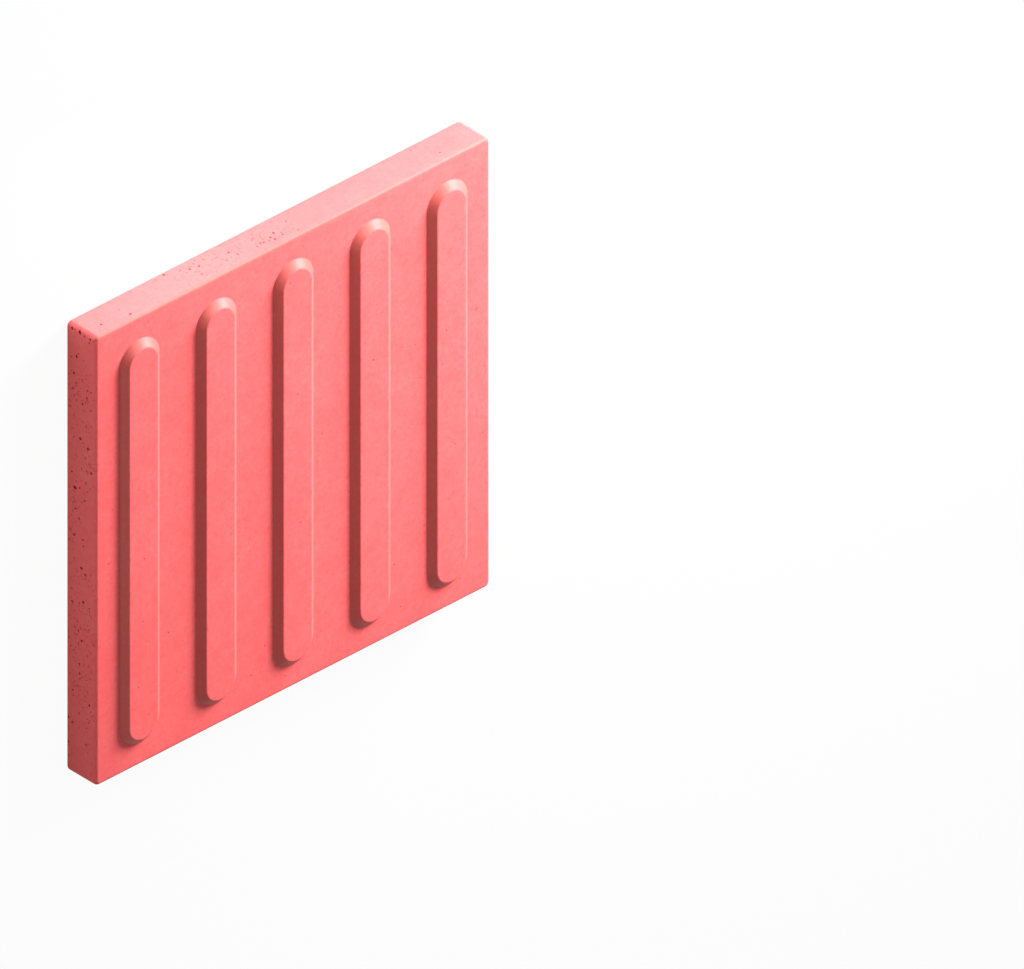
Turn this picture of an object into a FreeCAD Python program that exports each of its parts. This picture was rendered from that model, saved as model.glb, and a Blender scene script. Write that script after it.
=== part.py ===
import FreeCAD, Part
import math
import os
import Sketcher

# Tactile paving slab, cast in one piece: a square slab with flat-topped guidance bars on its
# walking face. It lies flat with the bars up and along Y, and the middle of its underside is
# at the origin. All sizes are in millimetres.

NODE = "tactile_slab"

# Driving sizes: name, value, what it measures
SIZES = (
    ("slab_width", 400, "across the bars"),
    ("slab_length", 400, "along the bars"),
    ("slab_thickness", 32, "underside to walking face, between the bars"),
    ("corner_radius", 4.5, "upright corners"),
    ("face_edge_radius", 3, "edge round the walking face"),
    ("base_edge_radius", 2, "edge round the underside"),
    ("bar_pitch", 78, "middle of one bar to the middle of the next"),
    ("bar_height", 5.5, "walking face to bar top"),
    ("bar_base_width", 41.5, "bar at the walking face"),
    ("bar_flank_run", 6.4, "how far a flank leans in over the bar height"),
    ("bar_end_margin", 20, "bar end to the edge of the slab"),
    ("bar_crown_radius", 2.5, "edge round a bar top"),
    ("bar_root_radius", 1.5, "hollow where a bar meets the walking face"),
)

# As many bars as whole pitches fit in the width, set evenly about the middle
BAR_COUNT = "floor(sizes.slab_width / sizes.bar_pitch)"

NEAR = 1e-4


def make_sheet(doc):
    sheet = doc.addObject("Spreadsheet::Sheet", "sizes")
    for row, (name, value, meaning) in enumerate(SIZES, start=1):
        sheet.set(f"A{row}", name)
        sheet.set(f"B{row}", str(value))
        sheet.set(f"C{row}", meaning)
        sheet.setAlias(f"B{row}", name)
    doc.recompute()
    return sheet


def flat_sketch(body, name):
    """A sketch on the body's own ground plane."""
    ground = next(item for item in body.Origin.OriginFeatures if item.Role == "XY_Plane")
    sketch = body.newObject("Sketcher::SketchObject", name)
    sketch.AttachmentSupport = (ground, "")
    sketch.MapMode = "FlatFace"
    return sketch


def bind_size(sketch, constraint, name, expression):
    """Adds a dimension to a sketch under a name and ties it to the sheet."""
    index = sketch.addConstraint(constraint)
    sketch.renameConstraint(index, name)
    sketch.setExpression(f"Constraints.{name}", expression)


def draw_outline(sketch, width, length):
    """A rectangle about the sketch origin."""
    half_x = width / 2
    half_y = length / 2
    corners = [
        FreeCAD.Vector(-half_x, -half_y, 0),
        FreeCAD.Vector(half_x, -half_y, 0),
        FreeCAD.Vector(half_x, half_y, 0),
        FreeCAD.Vector(-half_x, half_y, 0),
    ]
    for index in range(4):
        sketch.addGeometry(Part.LineSegment(corners[index], corners[(index + 1) % 4]))
    for index in range(4):
        sketch.addConstraint(Sketcher.Constraint("Coincident", index, 2, (index + 1) % 4, 1))
    sketch.addConstraint([
        Sketcher.Constraint("Horizontal", 0),
        Sketcher.Constraint("Horizontal", 2),
        Sketcher.Constraint("Vertical", 1),
        Sketcher.Constraint("Vertical", 3),
        Sketcher.Constraint("Symmetric", 0, 1, 1, 2, -1, 1),
    ])
    bind_size(sketch, Sketcher.Constraint("DistanceX", 0, 1, 0, 2, width), "width", "sizes.slab_width")
    bind_size(sketch, Sketcher.Constraint("DistanceY", 1, 1, 1, 2, length), "length", "sizes.slab_length")


def draw_bar(sketch, width, length):
    """A round-ended bar about the sketch origin: two long sides and two half circles."""
    radius = width / 2
    reach = length / 2 - radius
    up = FreeCAD.Vector(0, 0, 1)
    far_end = Part.Circle(FreeCAD.Vector(0, reach, 0), up, radius)
    near_end = Part.Circle(FreeCAD.Vector(0, -reach, 0), up, radius)
    right = sketch.addGeometry(
        Part.LineSegment(FreeCAD.Vector(radius, -reach, 0), FreeCAD.Vector(radius, reach, 0)))
    far = sketch.addGeometry(Part.ArcOfCircle(far_end, 0, math.pi))
    left = sketch.addGeometry(
        Part.LineSegment(FreeCAD.Vector(-radius, reach, 0), FreeCAD.Vector(-radius, -reach, 0)))
    near = sketch.addGeometry(Part.ArcOfCircle(near_end, math.pi, 2 * math.pi))
    sketch.addConstraint([
        Sketcher.Constraint("Tangent", right, 2, far, 1),
        Sketcher.Constraint("Tangent", far, 2, left, 1),
        Sketcher.Constraint("Tangent", left, 2, near, 1),
        Sketcher.Constraint("Tangent", near, 2, right, 1),
        Sketcher.Constraint("Equal", far, near),
        Sketcher.Constraint("PointOnObject", far, 3, -2),
        Sketcher.Constraint("Symmetric", far, 3, near, 3, -1, 1),
    ])
    bind_size(sketch, Sketcher.Constraint("Radius", far, radius), "radius", "sizes.bar_base_width / 2")
    bind_size(
        sketch,
        Sketcher.Constraint("DistanceY", near, 3, far, 3, 2 * reach),
        "straight",
        "sizes.slab_length - 2 * sizes.bar_end_margin - sizes.bar_base_width",
    )


def pad(body, name, sketch, height):
    feature = body.newObject("PartDesign::Pad", name)
    feature.Profile = sketch
    feature.setExpression("Length", height)
    body.Document.recompute()
    return feature


def is_level(item, height):
    """True for an edge or face that lies flat at this height."""
    box = item.BoundBox
    return abs(box.ZMin - height) < NEAR and abs(box.ZMax - height) < NEAR


def is_upright(item, low, high):
    """True for an edge or face that climbs from one height to the other."""
    box = item.BoundBox
    return abs(box.ZMin - low) < NEAR and abs(box.ZMax - high) < NEAR


def reaches_side(edge, half_x, half_y):
    """True for an edge on the outline of the slab and not on a bar."""
    box = edge.BoundBox
    furthest_x = max(abs(box.XMin), abs(box.XMax))
    furthest_y = max(abs(box.YMin), abs(box.YMax))
    return abs(furthest_x - half_x) < NEAR or abs(furthest_y - half_y) < NEAR


def round_edges(body, name, base, picked, radius):
    """Rounds the picked edges of the feature so far."""
    edges = [f"Edge{number}" for number, edge in enumerate(base.Shape.Edges, start=1) if picked(edge)]
    feature = body.newObject("PartDesign::Fillet", name)
    feature.Base = (base, edges)
    feature.setExpression("Radius", radius)
    body.Document.recompute()
    return feature


def make_slab(doc, sheet):
    body = doc.addObject("PartDesign::Body", NODE)
    body.Label = NODE
    width = float(sheet.slab_width)
    length = float(sheet.slab_length)
    face = float(sheet.slab_thickness)
    crown = face + float(sheet.bar_height)

    def on_outline(edge):
        return reaches_side(edge, width / 2, length / 2)

    # Slab block with rounded upright corners
    outline = flat_sketch(body, "slab_outline")
    draw_outline(outline, width, length)
    block = pad(body, "slab_block", outline, "sizes.slab_thickness")
    corners = round_edges(
        body, "slab_corners", block, lambda edge: is_upright(edge, 0, face), "sizes.corner_radius")

    # First bar at the low X side, then the row of bars across the slab
    bar_outline = flat_sketch(body, "bar_outline")
    draw_bar(bar_outline, float(sheet.bar_base_width), length - 2 * float(sheet.bar_end_margin))
    bar_outline.setExpression(
        "AttachmentOffset.Base.x", f"-({BAR_COUNT} - 1) / 2 * sizes.bar_pitch")
    bar_outline.setExpression("AttachmentOffset.Base.z", "sizes.slab_thickness")
    doc.recompute()
    first_bar = pad(body, "first_bar", bar_outline, "sizes.bar_height")
    bars = body.newObject("PartDesign::LinearPattern", "bars")
    bars.Originals = [first_bar]
    bars.Direction = (bar_outline, ["H_Axis"])
    bars.Mode = "Spacing"
    bars.setExpression("Offset", "sizes.bar_pitch")
    bars.setExpression("Occurrences", BAR_COUNT)
    body.Tip = bars
    doc.recompute()

    # Flanks lean in from the walking face up, round the ends too
    shape = bars.Shape
    walls = [f"Face{n}" for n, item in enumerate(shape.Faces, start=1) if is_upright(item, face, crown)]
    floor = [f"Face{n}" for n, item in enumerate(shape.Faces, start=1) if is_level(item, face)]
    flanks = body.newObject("PartDesign::Draft", "bar_flanks")
    flanks.Base = (bars, walls)
    flanks.NeutralPlane = (bars, floor[:1])
    flanks.setExpression("Angle", "atan(sizes.bar_flank_run / sizes.bar_height)")
    doc.recompute()

    # Rounded edges of the bars, then of the slab
    crowns = round_edges(
        body, "bar_crowns", flanks, lambda edge: is_level(edge, crown), "sizes.bar_crown_radius")
    roots = round_edges(
        body,
        "bar_roots",
        crowns,
        lambda edge: is_level(edge, face) and not on_outline(edge),
        "sizes.bar_root_radius",
    )
    face_edge = round_edges(
        body,
        "face_edge",
        roots,
        lambda edge: is_level(edge, face) and on_outline(edge),
        "sizes.face_edge_radius",
    )
    base_edge = round_edges(
        body, "base_edge", face_edge, lambda edge: is_level(edge, 0), "sizes.base_edge_radius")
    body.Tip = base_edge
    doc.recompute()
    return body


def check_built(doc, body):
    for item in doc.Objects:
        if "Invalid" in item.State or "Error" in item.State:
            raise RuntimeError(f"{item.Name} did not build: {item.State}")
    shape = body.Shape
    if shape.isNull() or not shape.isValid() or len(shape.Solids) != 1:
        raise RuntimeError(f"{body.Label} is not one sound solid")


def main():
    doc = FreeCAD.newDocument("tactile_paving_slab")
    sheet = make_sheet(doc)
    body = make_slab(doc, sheet)
    check_built(doc, body)
    os.makedirs("parts", exist_ok=True)
    body.Shape.exportStep(f"parts/{body.Label}.step")


main()
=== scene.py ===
import math

import bmesh
import bpy
import numpy as np
from mathutils import Matrix, Vector


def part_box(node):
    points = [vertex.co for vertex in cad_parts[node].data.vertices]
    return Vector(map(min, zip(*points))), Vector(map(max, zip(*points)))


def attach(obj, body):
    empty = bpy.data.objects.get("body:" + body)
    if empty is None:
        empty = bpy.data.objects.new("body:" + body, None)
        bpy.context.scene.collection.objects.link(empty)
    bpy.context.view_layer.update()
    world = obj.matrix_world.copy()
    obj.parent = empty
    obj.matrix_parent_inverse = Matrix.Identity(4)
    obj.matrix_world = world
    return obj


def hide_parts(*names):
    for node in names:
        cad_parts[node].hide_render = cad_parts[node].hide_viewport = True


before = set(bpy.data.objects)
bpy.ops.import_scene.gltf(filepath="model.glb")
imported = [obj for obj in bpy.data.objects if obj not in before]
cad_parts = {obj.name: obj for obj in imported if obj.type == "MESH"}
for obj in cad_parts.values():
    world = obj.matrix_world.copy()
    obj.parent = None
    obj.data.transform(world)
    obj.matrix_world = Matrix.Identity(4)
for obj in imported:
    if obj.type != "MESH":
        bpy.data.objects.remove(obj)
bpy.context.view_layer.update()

# A tactile paving slab of red concrete: a square cast slab with flat-topped round-ended bars,
# open pores on its sides and a smooth walking face. Sizes are in metres.

bl_info = {
    "name": "Tactile paving slab",
    "version": (1, 0, 0),
    "blender": (4, 5, 0),
    "location": "View3D > Sidebar > Slab",
    "description": "Casts a tactile paving slab in red concrete and sets its studio stage",
    "category": "Object",
}

NODE = "tactile_slab"
MM = 0.001
NEAR = 1e-5

node_low, node_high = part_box(NODE)


def length_property(name, description, default):
    return bpy.props.FloatProperty(
        name=name, description=description, default=default, min=0.0, unit="LENGTH", precision=4)


def colour_property(name, description, default):
    return bpy.props.FloatVectorProperty(
        name=name, description=description, default=default,
        size=3, min=0.0, max=1.0, subtype="COLOR")


def power_property(name, description, default):
    return bpy.props.FloatProperty(
        name=name, description=description, default=default, min=0.0, unit="POWER")


def count_property(name, description, default):
    return bpy.props.IntProperty(name=name, description=description, default=default, min=0)


class SlabSizes(bpy.types.PropertyGroup):
    """Sizes of the cast slab"""

    width: length_property("Width", "Across the bars", node_high.x - node_low.x)
    length: length_property("Length", "Along the bars", node_high.y - node_low.y)
    height: length_property("Height", "Underside to bar tops", node_high.z - node_low.z)
    corner_radius: length_property("Corner radius", "Upright corners", 4.5 * MM)
    face_edge_radius: length_property("Face edge radius", "Edge round the walking face", 3 * MM)
    base_edge_radius: length_property("Base edge radius", "Edge round the underside", 2 * MM)
    bar_pitch: length_property("Bar pitch", "Middle of one bar to the next", 78 * MM)
    bar_height: length_property("Bar height", "Walking face to bar top", 5.5 * MM)
    bar_base_width: length_property("Bar base width", "Bar at the walking face", 41.5 * MM)
    bar_flank_run: length_property("Bar flank run", "How far a flank leans in", 6.4 * MM)
    bar_end_margin: length_property("Bar end margin", "Bar end to the edge of the slab", 20 * MM)
    bar_crown_radius: length_property("Bar crown radius", "Edge round a bar top", 2.5 * MM)
    bar_root_radius: length_property("Bar root radius", "Hollow at the foot of a bar", 1.5 * MM)


class SlabPores(bpy.types.PropertyGroup):
    """Air pores and nicks that the casting left open"""

    side_clusters: count_property("Side clusters", "Groups of pores on the most open side", 18)
    side_singles: count_property("Side singles", "Pores that stand alone on the most open side", 80)
    face_singles: count_property("Face pores", "Pores on the walking face", 90)
    under_singles: count_property("Underside pores", "Pores on the underside", 160)
    corner_nicks: count_property("Corner nicks", "Nicks down the most worn upright corner", 16)
    smallest: length_property("Smallest", "Radius of the smallest pore", 0.36 * MM)
    largest: length_property("Largest", "Radius of the largest pore", 1.5 * MM)
    seed: count_property("Seed", "Start of the random placing", 7)


class SlabColours(bpy.types.PropertyGroup):
    """Colours of the concrete"""

    face: colour_property("Face", "Coral red of the smooth walking face", (0.95, 0.14, 0.142))
    side: colour_property("Side", "Coral red of the open sides", (0.87, 0.144, 0.145))
    # Painted shade: the bar flanks take a darker, browner colour than the face that stands in for
    # their shade. The far face edge takes this colour too, which tints its highlight.
    flank: colour_property("Flank", "Browner skin on the flanks of the bars", (0.62, 0.124, 0.11))
    # Deep red painted into soft spots that gather in patches and stand for small pits; the spots
    # have no relief under them.
    pit: colour_property("Pit", "Deep red of a shallow stained pit", (0.6, 0.055, 0.05))
    # Partly grime and partly painted shade: the pore walls are darker than the concrete, which
    # deepens the shade in the pores.
    pore: colour_property("Pore", "Deep red wall of an open pore", (0.58, 0.068, 0.062))
    # Painted light: a paler, greyer copy of the pore wall for the brightly lit far side.
    far_pore: colour_property(
        "Far pore", "Duller wall of a pore on the far side", (0.45, 0.16, 0.165))


class SlabStage(bpy.types.PropertyGroup):
    """Camera, lamps and floor"""

    view_azimuth: bpy.props.FloatProperty(
        name="View azimuth", description="Camera's turn round the slab",
        default=math.radians(225.8), subtype="ANGLE")
    view_elevation: bpy.props.FloatProperty(
        name="View elevation", description="Camera's height above the floor",
        default=math.radians(37.7), subtype="ANGLE")
    picture_width: length_property("Picture width", "Breadth that the picture takes in", 0.7608)
    left_of_middle: length_property(
        "Left of middle", "Slab's place left of the picture's middle", 0.1628)
    above_middle: length_property("Above middle", "Slab's place above the picture's middle", 0.0166)
    key_power: power_property("Key power", "Large soft lamp at the upper right", 46.2)
    rim_power: power_property(
        "Rim power", "Low long lamp that grazes the bars from the far right", 11.7)
    top_power: power_property("Top power", "Weak soft lamp over the far side", 0.7)
    card_power: power_property("Card power", "Low card in front of the far side", 0.44)
    fill_power: power_property("Fill power", "Low weak strip at the left", 0.34)
    room_level: bpy.props.FloatProperty(
        name="Room level", description="Even light from all round", default=0.285, min=0.0)


# Edit-mode helpers

def start_editing(piece):
    if bpy.context.mode != "OBJECT":
        bpy.ops.object.mode_set(mode="OBJECT")
    bpy.ops.object.select_all(action="DESELECT")
    piece.select_set(True)
    bpy.context.view_layer.objects.active = piece
    bpy.ops.object.mode_set(mode="EDIT")


def pick(piece, kind, wanted):
    """In edit mode, selects the verts, edges or faces that pass the test and nothing else."""
    modes = {"verts": "VERT", "edges": "EDGE", "faces": "FACE"}
    bpy.ops.mesh.select_mode(type=modes[kind])
    bpy.ops.mesh.select_all(action="DESELECT")
    shape = bmesh.from_edit_mesh(piece.data)
    for item in getattr(shape, kind):
        if wanted(item):
            item.select_set(True)
    shape.select_flush_mode()
    bmesh.update_edit_mesh(piece.data)


def lies_at(item, level):
    """True for an edge or face whose corners are all at this height."""
    return all(abs(corner.co.z - level) < NEAR for corner in item.verts)


def stands_up(edge):
    low, high = edge.verts
    return abs(low.co.z - high.co.z) > NEAR


def apply_modifiers(piece):
    bpy.ops.object.select_all(action="DESELECT")
    piece.select_set(True)
    bpy.context.view_layer.objects.active = piece
    for modifier in list(piece.modifiers):
        bpy.ops.object.modifier_apply(modifier=modifier.name)


# Slab block and bars

CORNER_STEPS = 6
EDGE_STEPS = 5
ROUND_END_STEPS = 16
FILLET_STEPS = 3

# Shares of a face's normal that tell the sides, the flanks and the far edge apart
SIDE_MOST_UP = 0.6
FLANK_MOST_UP = 0.85
FAR_SIDE_LEAST_OUT = 0.7
FAR_EDGE_LEAST_TURN = 0.2


def cast_block(sizes):
    """The slab without its bars, with every edge rounded."""
    face = sizes.height - sizes.bar_height
    bpy.ops.object.select_all(action="DESELECT")
    bpy.ops.mesh.primitive_cube_add(
        size=1, location=(0, 0, face / 2), scale=(sizes.width, sizes.length, face))
    block = bpy.context.object
    block.name = "cast_slab"
    bpy.ops.object.transform_apply(location=True, rotation=True, scale=True)
    start_editing(block)
    pick(block, "edges", stands_up)
    bpy.ops.mesh.bevel(
        offset=sizes.corner_radius, segments=CORNER_STEPS, affect="EDGES", clamp_overlap=False)
    pick(block, "edges", lambda edge: lies_at(edge, face))
    bpy.ops.mesh.bevel(
        offset=sizes.face_edge_radius, segments=EDGE_STEPS, affect="EDGES", clamp_overlap=False)
    pick(block, "edges", lambda edge: lies_at(edge, 0))
    bpy.ops.mesh.bevel(
        offset=sizes.base_edge_radius, segments=EDGE_STEPS, affect="EDGES", clamp_overlap=False)
    return block


def bar_places(sizes):
    count = math.floor(sizes.width / sizes.bar_pitch + NEAR)
    return [(index - (count - 1) / 2) * sizes.bar_pitch for index in range(count)]


def bar_steps(sizes):
    """Inset and rise of each ring from the foot of a bar to its flat top."""
    slope = math.atan2(sizes.bar_height, sizes.bar_flank_run)
    turns = [slope * step / FILLET_STEPS for step in range(FILLET_STEPS + 1)]
    root = [(sizes.bar_root_radius * math.sin(turn), sizes.bar_root_radius * (1 - math.cos(turn)))
            for turn in turns]
    rounded_rise = (sizes.bar_root_radius + sizes.bar_crown_radius) * (1 - math.cos(slope))
    flank = (sizes.bar_height - rounded_rise) / math.sin(slope)
    foot_x, foot_z = root[-1]
    crown_x = foot_x + flank * math.cos(slope) + sizes.bar_crown_radius * math.sin(slope)
    crown = [(crown_x - sizes.bar_crown_radius * math.sin(turn),
              sizes.bar_height - sizes.bar_crown_radius * (1 - math.cos(turn)))
             for turn in reversed(turns)]
    points = root + crown
    return [(after[0] - before[0], after[1] - before[1])
            for before, after in zip(points, points[1:])]


def raise_bars(block, sizes):
    """Marks the round-ended foot of each bar on the walking face and draws the bars up from it."""
    face = sizes.height - sizes.bar_height
    slope = math.atan2(sizes.bar_height, sizes.bar_flank_run)
    reach = sizes.bar_root_radius * math.tan(slope / 2)
    foot_width = sizes.bar_base_width + 2 * reach
    foot_length = sizes.length - 2 * sizes.bar_end_margin + 2 * reach
    pick(block, "faces", lambda item: lies_at(item, face))
    bpy.ops.mesh.delete(type="ONLY_FACE")
    for place in bar_places(sizes):
        bpy.ops.mesh.select_mode(type="VERT")
        bpy.ops.mesh.select_all(action="DESELECT")
        middle = (place, 0, face)
        bpy.ops.mesh.primitive_plane_add(size=foot_width, location=middle)
        bpy.ops.transform.resize(value=(1, foot_length / foot_width, 1), center_override=middle)
        bpy.ops.mesh.bevel(
            offset=foot_width / 2, segments=ROUND_END_STEPS, affect="VERTICES", clamp_overlap=True)
        bpy.ops.mesh.remove_doubles(threshold=NEAR)
    pick(block, "edges", lambda edge: edge.is_boundary)
    bpy.ops.mesh.fill(use_beauty=True)
    pick(block, "faces", lambda item: lies_at(item, face) and len(item.verts) > 2 * ROUND_END_STEPS)
    for inset, rise in bar_steps(sizes):
        bpy.ops.mesh.inset(thickness=inset, use_individual=True)
        bpy.ops.transform.translate(value=(0, 0, rise))
    bpy.ops.mesh.select_all(action="SELECT")
    bpy.ops.mesh.remove_doubles(threshold=NEAR)
    bpy.ops.mesh.normals_make_consistent(inside=False)
    bpy.ops.object.mode_set(mode="OBJECT")


def assign_finishes(slab, sizes):
    """The walking face and bar tops keep the first finish, and the rest take the other three."""
    face = sizes.height - sizes.bar_height

    def on_side(item):
        return item.calc_center_median().z < face - NEAR and item.normal.z < SIDE_MOST_UP

    def on_far_side(item):
        return on_side(item) and item.normal.y > FAR_SIDE_LEAST_OUT

    def on_flank(item):
        return item.calc_center_median().z > face + NEAR and item.normal.z < FLANK_MOST_UP

    def on_far_edge(item):
        turn = min(item.normal.y, item.normal.z)
        return item.calc_center_median().z < face - NEAR and turn > FAR_EDGE_LEAST_TURN

    # The flanks and the far face edge take the darker, browner colour that paints the flanks'
    # shade.
    def on_flank_or_far_edge(item):
        return on_flank(item) or on_far_edge(item)

    start_editing(slab)
    for slot, wanted in enumerate((on_side, on_far_side, on_flank_or_far_edge), start=1):
        pick(slab, "faces", wanted)
        slab.active_material_index = slot
        bpy.ops.object.material_slot_assign()
    bpy.ops.object.mode_set(mode="OBJECT")


# Pores and nicks

PORE_SHAPES = 4
PORE_ROUGHNESS = 0.18
PORE_DETAIL = 2
PORE_STEEPNESS = 1.8
PORE_CLEARANCE = 1.6
PORE_SINK = 0.25
PORE_LENGTHS = (1.0, 1.5)
PORE_DEPTHS = (0.9, 1.4)
CLUSTER_COUNTS = (4, 11)
CLUSTER_LENGTH = 11 * MM
CLUSTER_HEIGHT = 6 * MM
NICK_TURNS = (math.radians(150), math.radians(182))
FAR_PORE_SLOT = 1
FAR_PORE_LEAST_OUT = 0.9


class Patch:
    """A flat stretch of the slab that pores open on, seen from outside."""

    def __init__(self, middle, along, out, length, height):
        self.middle = Vector(middle)
        self.along = Vector(along)
        self.out = Vector(out)
        self.across = self.out.cross(self.along)
        self.length = length
        self.height = height

    def point(self, along, across):
        return self.middle + self.along * along + self.across * across

    def random_point(self, rng):
        along = (rng.random() - 0.5) * self.length
        across = (rng.random() - 0.5) * self.height
        return self.point(along, across)

    def holds(self, along, across, margin):
        return abs(along) < self.length / 2 - margin and abs(across) < self.height / 2 - margin


def pore_radius(rng, smallest, largest):
    """Many small pores and few large ones."""
    tail = (smallest / largest) ** PORE_STEEPNESS
    return smallest * (1 - rng.random() * (1 - tail)) ** (-1 / PORE_STEEPNESS)


class PoreBed:
    """Collects pores that keep clear of each other."""

    def __init__(self, rng):
        self.rng = rng
        self.pores = []

    def add(self, point, out, radius):
        for other_point, _, other_radius in self.pores:
            if (other_point - point).length < PORE_CLEARANCE * (radius + other_radius):
                return
        self.pores.append((point, out, radius))

    def add_single(self, patch, smallest, largest):
        point = patch.random_point(self.rng)
        self.add(point, patch.out, pore_radius(self.rng, smallest, largest))

    def add_cluster(self, patch, smallest, largest, middle, spread):
        centre_along = self.rng.normal(middle, spread)
        centre_across = (self.rng.random() - 0.5) * patch.height
        for _ in range(self.rng.integers(*CLUSTER_COUNTS)):
            along = centre_along + self.rng.normal(0, CLUSTER_LENGTH)
            across = centre_across + self.rng.normal(0, CLUSTER_HEIGHT)
            if patch.holds(along, across, largest):
                radius = pore_radius(self.rng, smallest, largest)
                self.add(patch.point(along, across), patch.out, radius)


def pore_shapes():
    """A few rough little balls, as points and triangles."""
    shapes = []
    for number in range(PORE_SHAPES):
        bpy.ops.object.select_all(action="DESELECT")
        bpy.ops.mesh.primitive_ico_sphere_add(subdivisions=PORE_DETAIL, radius=1)
        ball = bpy.context.object
        start_editing(ball)
        bpy.ops.transform.vertex_random(offset=PORE_ROUGHNESS, seed=number, normal=0.6)
        bpy.ops.object.mode_set(mode="OBJECT")
        points = np.array([vert.co for vert in ball.data.vertices])
        triangles = np.array([list(face.vertices) for face in ball.data.polygons])
        shapes.append((points, triangles))
        bpy.data.objects.remove(ball)
    return shapes


def join_pores(bed, rng, walls):
    """One mesh of all the pore balls, each turned and stretched its own way."""
    shapes = pore_shapes()
    all_points = []
    all_triangles = []
    slots = []
    offset = 0
    for point, out, radius in bed.pores:
        points, triangles = shapes[rng.integers(PORE_SHAPES)]
        length = radius * rng.uniform(*PORE_LENGTHS)
        depth = radius * rng.uniform(*PORE_DEPTHS)
        spin = Matrix.Rotation(rng.uniform(0, math.tau), 3, "Z")
        stretch = Matrix.Diagonal((length, radius, depth))
        turn = out.to_track_quat("Z", "Y").to_matrix() @ spin
        shaped = points @ np.array(turn @ stretch).T
        all_points.append(shaped + np.array(point - out * radius * PORE_SINK))
        all_triangles.append(triangles + offset)
        # Pores on the far side take the paler, greyer wall, a copy painted for that side's bright
        # light.
        slots += [FAR_PORE_SLOT if out.y > FAR_PORE_LEAST_OUT else 0] * len(triangles)
        offset += len(points)
    mesh = bpy.data.meshes.new("pores")
    mesh.from_pydata(np.concatenate(all_points), [], np.concatenate(all_triangles))
    for wall in walls:
        mesh.materials.append(wall)
    mesh.polygons.foreach_set("material_index", slots)
    pores = bpy.data.objects.new("pores", mesh)
    bpy.context.scene.collection.objects.link(pores)
    return pores


def open_height(sizes, point):
    """Height of the walking face or of a bar's top at this place, and None on a bar's flank."""
    straight = sizes.length / 2 - sizes.bar_end_margin - sizes.bar_base_width / 2
    past_straight = max(abs(point.y) - straight, 0)
    from_bar = min(math.hypot(point.x - place, past_straight) for place in bar_places(sizes))
    if from_bar < sizes.bar_base_width / 2 - sizes.bar_flank_run - sizes.bar_crown_radius:
        return sizes.height
    if from_bar > sizes.bar_base_width / 2 + 2 * sizes.bar_root_radius:
        return sizes.height - sizes.bar_height
    return None


def scatter_pores(sizes, settings):
    rng = np.random.default_rng(settings.seed)
    bed = PoreBed(rng)
    face = sizes.height - sizes.bar_height
    half_x = sizes.width / 2
    half_y = sizes.length / 2
    straight_x = sizes.width - 2 * sizes.corner_radius
    straight_y = sizes.length - 2 * sizes.corner_radius
    flat_z = face - sizes.face_edge_radius - sizes.base_edge_radius
    middle_z = sizes.base_edge_radius + flat_z / 2
    low_x = Patch((-half_x, 0, middle_z), (0, 1, 0), (-1, 0, 0), straight_y, flat_z)
    high_x = Patch((half_x, 0, middle_z), (0, 1, 0), (1, 0, 0), straight_y, flat_z)
    low_y = Patch((0, -half_y, middle_z), (1, 0, 0), (0, -1, 0), straight_x, flat_z)
    high_y = Patch((0, half_y, middle_z), (1, 0, 0), (0, 1, 0), straight_x, flat_z)
    walking = Patch((0, 0, face), (1, 0, 0), (0, 0, 1), straight_x, straight_y)
    under = Patch((0, 0, 0), (1, 0, 0), (0, 0, -1), straight_x, straight_y)

    # Side, its shares of the clusters, of the single pores and of their size, and the middle
    # and spread of a stretch that the clusters keep to
    stretches = (
        (low_x, 0.6, 0.6, 1.0, -0.115, 0.045),
        (low_x, 0.5, 0.6, 1.0, 0.11, 0.045),
        (high_y, 0.6, 0.2, 0.75, -0.055, 0.03),
        (high_x, 0.7, 0.7, 0.85, 0.04, 0.11),
        (low_y, 0.7, 0.7, 0.85, 0.02, 0.11),
    )
    for patch, clusters, singles, size, middle, spread in stretches:
        for _ in range(round(settings.side_clusters * clusters)):
            bed.add_cluster(patch, settings.smallest, size * settings.largest, middle, spread)
        for _ in range(round(settings.side_singles * singles)):
            bed.add_single(patch, settings.smallest, size * settings.largest)
    for _ in range(settings.face_singles):
        point = walking.random_point(rng)
        radius = pore_radius(rng, 0.8 * settings.smallest, 0.45 * settings.largest)
        height = open_height(sizes, point)
        if height is not None:
            point.z = height
            bed.add(point, walking.out, radius)
    for _ in range(settings.under_singles):
        bed.add_single(under, settings.smallest, settings.largest)

    corner = Vector((-half_x + sizes.corner_radius, half_y - sizes.corner_radius, 0))
    for _ in range(settings.corner_nicks):
        turn = rng.uniform(*NICK_TURNS)
        out = Vector((math.cos(turn), math.sin(turn), 0))
        height = rng.uniform(sizes.base_edge_radius, face - sizes.face_edge_radius)
        point = corner + out * sizes.corner_radius + Vector((0, 0, height))
        bed.add(point, out, pore_radius(rng, 1.6 * settings.smallest, settings.largest))
    return bed, rng


def open_pores(slab, sizes, settings, walls):
    """Cuts the pores out of the slab, with the first wall everywhere but on the far side."""
    bed, rng = scatter_pores(sizes, settings)
    pores = join_pores(bed, rng, walls)
    cut = slab.modifiers.new("open pores", "BOOLEAN")
    cut.operation = "DIFFERENCE"
    cut.solver = "MANIFOLD"
    cut.material_mode = "TRANSFER"
    cut.object = pores
    apply_modifiers(slab)
    bpy.data.objects.remove(pores)


# Concrete

# Scale and swing of each size of blotch, from a hand's breadth down to a grain of sand
BLOTCHES = ((16, 0.04), (60, 0.05), (190, 0.06), (520, 0.07), (1300, 0.08))

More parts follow.
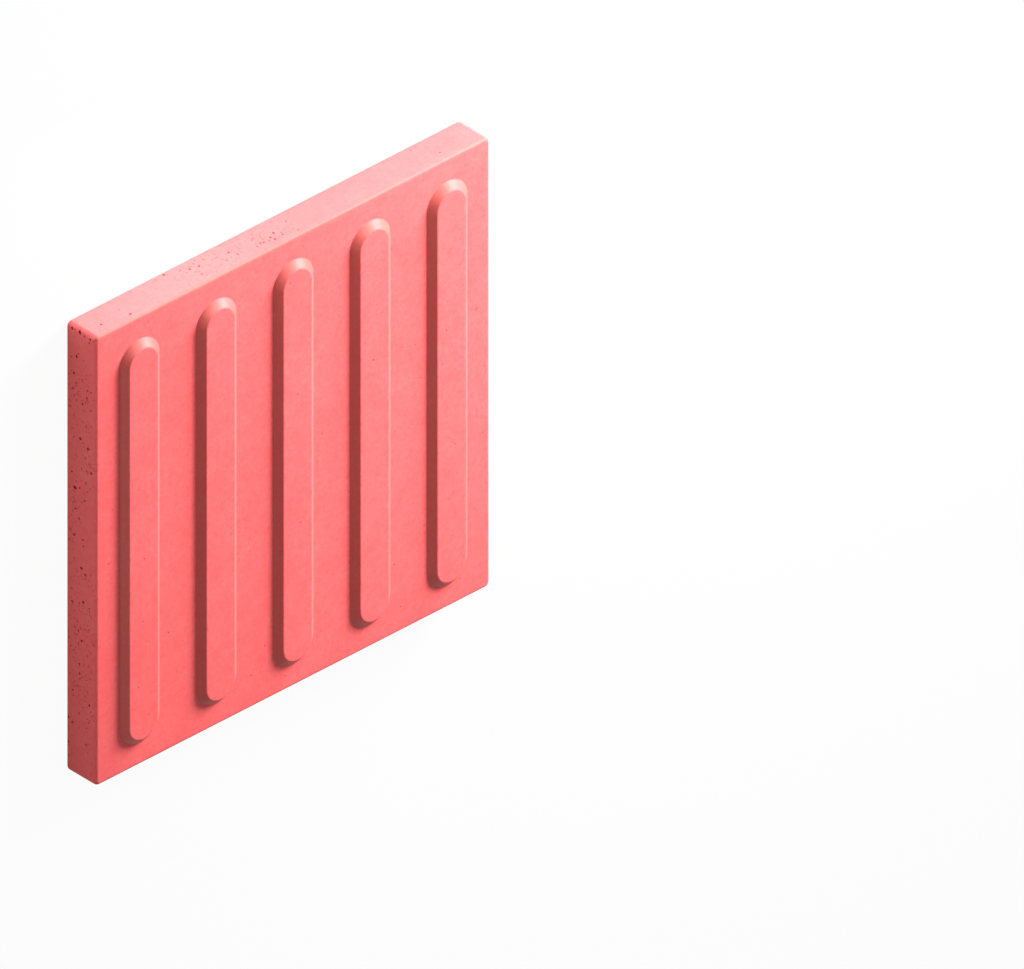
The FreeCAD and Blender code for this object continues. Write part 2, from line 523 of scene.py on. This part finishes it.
# Spacing and radius of the spots
PALE_SPOTS = (7.3 * MM, 0.7 * MM)
LARGE_PITS = (6.1 * MM, 1.7 * MM)
SMALL_PITS = (3.3 * MM, 0.8 * MM)


def add_node(tree, kind, **values):
    node = tree.nodes.new(kind)
    for name, value in values.items():
        node.inputs[name.replace("_", " ")].default_value = value
    return node


def new_material(name):
    material = bpy.data.materials.new(name)
    material.use_nodes = True
    return material, material.node_tree, material.node_tree.nodes["Principled BSDF"]


def noise(tree, place, scale, detail, roughness):
    texture = add_node(tree, "ShaderNodeTexNoise", Scale=scale, Detail=detail, Roughness=roughness)
    tree.links.new(place.outputs["Object"], texture.inputs["Vector"])
    return texture.outputs["Fac"]


def level(tree, value, low, high):
    """Maps a noise value from 0.25 to 0.75 onto another range."""
    span = add_node(
        tree, "ShaderNodeMapRange", From_Min=0.25, From_Max=0.75, To_Min=low, To_Max=high)
    tree.links.new(value, span.inputs["Value"])
    return span.outputs["Result"]


def combine(tree, operation, first, second):
    node = tree.nodes.new("ShaderNodeMath")
    node.operation = operation
    tree.links.new(first, node.inputs[0])
    tree.links.new(second, node.inputs[1])
    return node.outputs["Value"]


def tinted(tree, colour, paleness):
    """The colour with its green and blue times a paleness that changes over the surface."""
    shares = add_node(tree, "ShaderNodeCombineXYZ", X=1.0)
    tree.links.new(paleness, shares.inputs["Y"])
    tree.links.new(paleness, shares.inputs["Z"])
    product = tree.nodes.new("ShaderNodeVectorMath")
    product.operation = "MULTIPLY"
    product.inputs[0].default_value = colour
    tree.links.new(shares.outputs["Vector"], product.inputs[1])
    return product.outputs["Vector"]


def unevenness(tree, place, strength):
    """Pale and deep blotches of many sizes."""
    paleness = None
    for scale, swing in BLOTCHES:
        reach = swing * strength
        band = level(tree, noise(tree, place, scale, 2, 0.5), 1 - reach, 1 + reach)
        paleness = combine(tree, "MULTIPLY", paleness, band) if paleness else band
    return paleness


def spots(tree, place, kind, strongest):
    """Scattered soft spots, as a share from 0 outside them to the strongest in their middles."""
    spacing, radius = kind
    cells = add_node(tree, "ShaderNodeTexVoronoi", Scale=1 / spacing)
    tree.links.new(place.outputs["Object"], cells.inputs["Vector"])
    reach = radius / spacing
    fade = add_node(
        tree, "ShaderNodeMapRange", From_Min=reach, From_Max=0.4 * reach, To_Max=strongest)
    tree.links.new(cells.outputs["Distance"], fade.inputs["Value"])
    return fade.outputs["Result"]


def blend(tree, share, first, colour):
    """The first colour, and the second where the share is 1."""
    mix = tree.nodes.new("ShaderNodeMix")
    mix.data_type = "RGBA"
    share_in, first_in, second_in = (mix.inputs[index] for index in (0, 6, 7))
    tree.links.new(share, share_in)
    tree.links.new(first, first_in)
    second_in.default_value = (*colour, 1)
    return mix.outputs[2]


def gathering(tree, place):
    """0 on the clear stretches of a surface and 1 where its pits gather."""
    fade = add_node(tree, "ShaderNodeMapRange", From_Min=0.4, From_Max=0.56)
    tree.links.new(noise(tree, place, 32, 2, 0.5), fade.inputs["Value"])
    return fade.outputs["Result"]


def make_concrete(name, colour, pit_colour, strength, pitting, relief, roughness):
    """Through-coloured concrete, more or less blotchy and dotted with dark pit spots that are only
    painted, with a fine cast relief.
    """
    material, tree, shader = new_material(name)
    place = tree.nodes.new("ShaderNodeTexCoord")
    pale = spots(tree, place, PALE_SPOTS, 0.25 * pitting)
    paleness = combine(tree, "ADD", unevenness(tree, place, strength), pale)
    # Painted pit spots: darker patches with no relief under them, gathered by a noise.
    large_pits = spots(tree, place, LARGE_PITS, 0.8 * pitting)
    small_pits = spots(tree, place, SMALL_PITS, pitting)
    pits = combine(tree, "MAXIMUM", large_pits, small_pits)
    pits = combine(tree, "MULTIPLY", pits, gathering(tree, place))
    skin = blend(tree, pits, tinted(tree, colour, paleness), pit_colour)
    tree.links.new(skin, shader.inputs["Base Color"])
    shader.inputs["Roughness"].default_value = roughness
    shader.inputs["Specular IOR Level"].default_value = 0.17
    bump = add_node(tree, "ShaderNodeBump", Strength=1.0, Distance=relief)
    tree.links.new(noise(tree, place, 260, 4, 0.6), bump.inputs["Height"])
    tree.links.new(bump.outputs["Normal"], shader.inputs["Normal"])
    return material


def make_pore_wall(name, colour):
    material, tree, shader = new_material(name)
    place = tree.nodes.new("ShaderNodeTexCoord")
    paleness = level(tree, noise(tree, place, 900, 2, 0.5), 0.8, 1.2)
    tree.links.new(tinted(tree, colour, paleness), shader.inputs["Base Color"])
    shader.inputs["Roughness"].default_value = 0.95
    shader.inputs["Specular IOR Level"].default_value = 0.1
    return material


class CastSlab(bpy.types.Operator):
    """Casts the slab with its bars, opens its pores and gives it its concrete"""

    bl_idname = "object.cast_tactile_slab"
    bl_label = "Cast tactile slab"

    def execute(self, context):
        scene = context.scene
        slab = cast_block(scene.slab_sizes)
        raise_bars(slab, scene.slab_sizes)
        colours = scene.slab_colours
        for finish in (
            make_concrete(
                "smooth_face", colours.face, colours.pit,
                strength=1.3, pitting=0.3, relief=0.03 * MM, roughness=0.8),
            make_concrete(
                "cast_side", colours.side, colours.pit,
                strength=1.2, pitting=1.0, relief=0.06 * MM, roughness=0.8),
            make_concrete(
                "fine_side", colours.side, colours.pit,
                strength=1.1, pitting=0.3, relief=0.06 * MM, roughness=0.8),
            # Painted shade on the bar flanks, and the tint of the far face edge's highlight.
            make_concrete(
                "worn_flank", colours.flank, colours.pit,
                strength=0.9, pitting=0.06, relief=0.02 * MM, roughness=0.45),
        ):
            slab.data.materials.append(finish)
        assign_finishes(slab, scene.slab_sizes)
        walls = (
            # Pore walls darker than the concrete: partly grime, partly painted shade in the pores.
            make_pore_wall("pore_wall", colours.pore),
            # Painted light: the far side's pores get a paler, greyer copy of the wall.
            make_pore_wall("far_pore_wall", colours.far_pore),
        )
        open_pores(slab, scene.slab_sizes, scene.slab_pores, walls)
        bpy.ops.object.select_all(action="DESELECT")
        slab.select_set(True)
        context.view_layer.objects.active = slab
        bpy.ops.object.shade_smooth_by_angle(angle=math.radians(35))
        weighted = slab.modifiers.new("flat faces", "WEIGHTED_NORMAL")
        weighted.keep_sharp = True
        weighted.weight = 100
        apply_modifiers(slab)
        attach(slab, "root")
        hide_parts(NODE)
        return {"FINISHED"}


# Stage

FLOOR_SIZE = 40.0
FLOOR_GAP = 0.0001
FLOOR_GREY = (0.6, 0.6, 0.6, 1)
FLOOR_SHADOW_SHARE = 0.05
WHITE = (1, 1, 1, 1)
CAMERA_DISTANCE = 1.5


def seen_directly(tree):
    """1 on rays from the camera, from gloss and through glass, and 0 on rays that carry light."""
    path = tree.nodes.new("ShaderNodeLightPath")
    seen = path.outputs["Is Camera Ray"]
    for name in ("Is Glossy Ray", "Is Transmission Ray"):
        seen = combine(tree, "MAXIMUM", seen, path.outputs[name])
    return seen


def mix_shaders(tree, share, first, second):
    mix = tree.nodes.new("ShaderNodeMixShader")
    if isinstance(share, float):
        mix.inputs[0].default_value = share
    else:
        tree.links.new(share, mix.inputs[0])
    tree.links.new(first, mix.inputs[1])
    tree.links.new(second, mix.inputs[2])
    return mix.outputs[0]


def lay_floor():
    bpy.ops.object.select_all(action="DESELECT")
    bpy.ops.mesh.primitive_plane_add(size=FLOOR_SIZE, location=(0, 0, -FLOOR_GAP))
    floor = bpy.context.object
    floor.name = "floor"
    material = bpy.data.materials.new("pale_floor")
    material.use_nodes = True
    tree = material.node_tree
    tree.nodes.clear()
    white = add_node(tree, "ShaderNodeEmission", Color=WHITE, Strength=1.0)
    matte = add_node(tree, "ShaderNodeBsdfDiffuse", Color=FLOOR_GREY)
    shadowed = mix_shaders(tree, FLOOR_SHADOW_SHARE, white.outputs[0], matte.outputs[0])
    upper = mix_shaders(tree, seen_directly(tree), matte.outputs[0], shadowed)
    clear = tree.nodes.new("ShaderNodeBsdfTransparent")
    side = tree.nodes.new("ShaderNodeNewGeometry")
    surface = mix_shaders(tree, side.outputs["Backfacing"], upper, clear.outputs[0])
    output = tree.nodes.new("ShaderNodeOutputMaterial")
    tree.links.new(surface, output.inputs["Surface"])
    floor.data.materials.append(material)


def light_world(level_all_round):
    world = bpy.data.worlds.new("studio")
    bpy.context.scene.world = world
    world.use_nodes = True
    tree = world.node_tree
    tree.nodes.clear()
    fill = add_node(tree, "ShaderNodeBackground", Color=WHITE, Strength=level_all_round)
    white = add_node(tree, "ShaderNodeBackground", Color=WHITE, Strength=1.0)
    surface = mix_shaders(tree, seen_directly(tree), fill.outputs[0], white.outputs[0])
    output = tree.nodes.new("ShaderNodeOutputWorld")
    tree.links.new(surface, output.inputs["Surface"])


def hang_lamp(name, place, size, power, aim):
    """An oval soft lamp of this breadth and height."""
    lamp = bpy.data.lights.new(name, "AREA")
    lamp.shape = "ELLIPSE"
    lamp.size, lamp.size_y = size
    lamp.energy = power
    holder = bpy.data.objects.new(name, lamp)
    holder.location = place
    holder.rotation_euler = (aim - Vector(place)).to_track_quat("-Z", "Y").to_euler()
    holder.visible_camera = False
    bpy.context.scene.collection.objects.link(holder)


def place_camera(stage, sizes):
    """Looks down on the slab from its corner, with the bars upright in the picture."""
    back = Vector((
        math.sin(stage.view_azimuth) * math.cos(stage.view_elevation),
        -math.cos(stage.view_azimuth) * math.cos(stage.view_elevation),
        math.sin(stage.view_elevation),
    ))
    bars = Vector((0, 1, 0))
    up = (bars - back * bars.dot(back)).normalized()
    right = up.cross(back)
    face_middle = Vector((0, 0, sizes.height - sizes.bar_height))
    aim = face_middle + right * stage.left_of_middle - up * stage.above_middle
    lens = bpy.data.cameras.new("camera")
    lens.type = "ORTHO"
    lens.ortho_scale = stage.picture_width
    camera = bpy.data.objects.new("camera", lens)
    turn = Matrix((right, up, back)).transposed().to_4x4()
    camera.matrix_world = Matrix.Translation(aim + back * CAMERA_DISTANCE) @ turn
    bpy.context.scene.collection.objects.link(camera)
    bpy.context.scene.camera = camera


class SetStage(bpy.types.Operator):
    """Sets the floor, the soft lamps and the camera"""

    bl_idname = "object.set_slab_stage"
    bl_label = "Set slab stage"

    def execute(self, context):
        scene = context.scene
        stage = scene.slab_stage
        scene.view_settings.view_transform = "Standard"
        lay_floor()
        light_world(stage.room_level)
        bar_tops = Vector((0, 0, scene.slab_sizes.height))
        far_edge = Vector((0, 0.2, 0.03))
        far_side = Vector((-0.12, 0.2, 0.02))
        left_side = Vector((-0.2, 0, 0.02))
        hang_lamp("key", (1.0, 0.7, 0.6), (0.6, 0.6), stage.key_power, bar_tops)
        hang_lamp("rim", (0.9, 0.8, 0.2), (0.5, 0.12), stage.rim_power, bar_tops)
        hang_lamp("top", (0, 0.6, 0.5), (0.5, 0.5), stage.top_power, far_edge)
        hang_lamp("card", (-0.12, 0.38, 0.016), (0.16, 0.028), stage.card_power, far_side)
        hang_lamp("fill", (-0.6, 0.03, 0.014), (0.4, 0.026), stage.fill_power, left_side)
        place_camera(stage, scene.slab_sizes)
        return {"FINISHED"}


class SlabPanel(bpy.types.Panel):
    """Slab sizes, pores, colours and stage"""

    bl_idname = "VIEW3D_PT_tactile_slab"
    bl_label = "Tactile paving slab"
    bl_space_type = "VIEW_3D"
    bl_region_type = "UI"
    bl_category = "Slab"

    def draw(self, context):
        scene = context.scene
        for group in (scene.slab_sizes, scene.slab_pores, scene.slab_colours, scene.slab_stage):
            box = self.layout.box()
            for name in group.__annotations__:
                box.prop(group, name)
        self.layout.operator(CastSlab.bl_idname)
        self.layout.operator(SetStage.bl_idname)


CLASSES = (SlabSizes, SlabPores, SlabColours, SlabStage, CastSlab, SetStage, SlabPanel)
GROUPS = {
    "slab_sizes": SlabSizes,
    "slab_pores": SlabPores,
    "slab_colours": SlabColours,
    "slab_stage": SlabStage,
}


def register():
    for item in CLASSES:
        bpy.utils.register_class(item)
    for name, group in GROUPS.items():
        setattr(bpy.types.Scene, name, bpy.props.PointerProperty(type=group))


def unregister():
    for name in GROUPS:
        delattr(bpy.types.Scene, name)
    for item in reversed(CLASSES):
        bpy.utils.unregister_class(item)


def main():
    register()
    bpy.ops.object.cast_tactile_slab()
    bpy.ops.object.set_slab_stage()


if __name__ == "__main__":
    main()
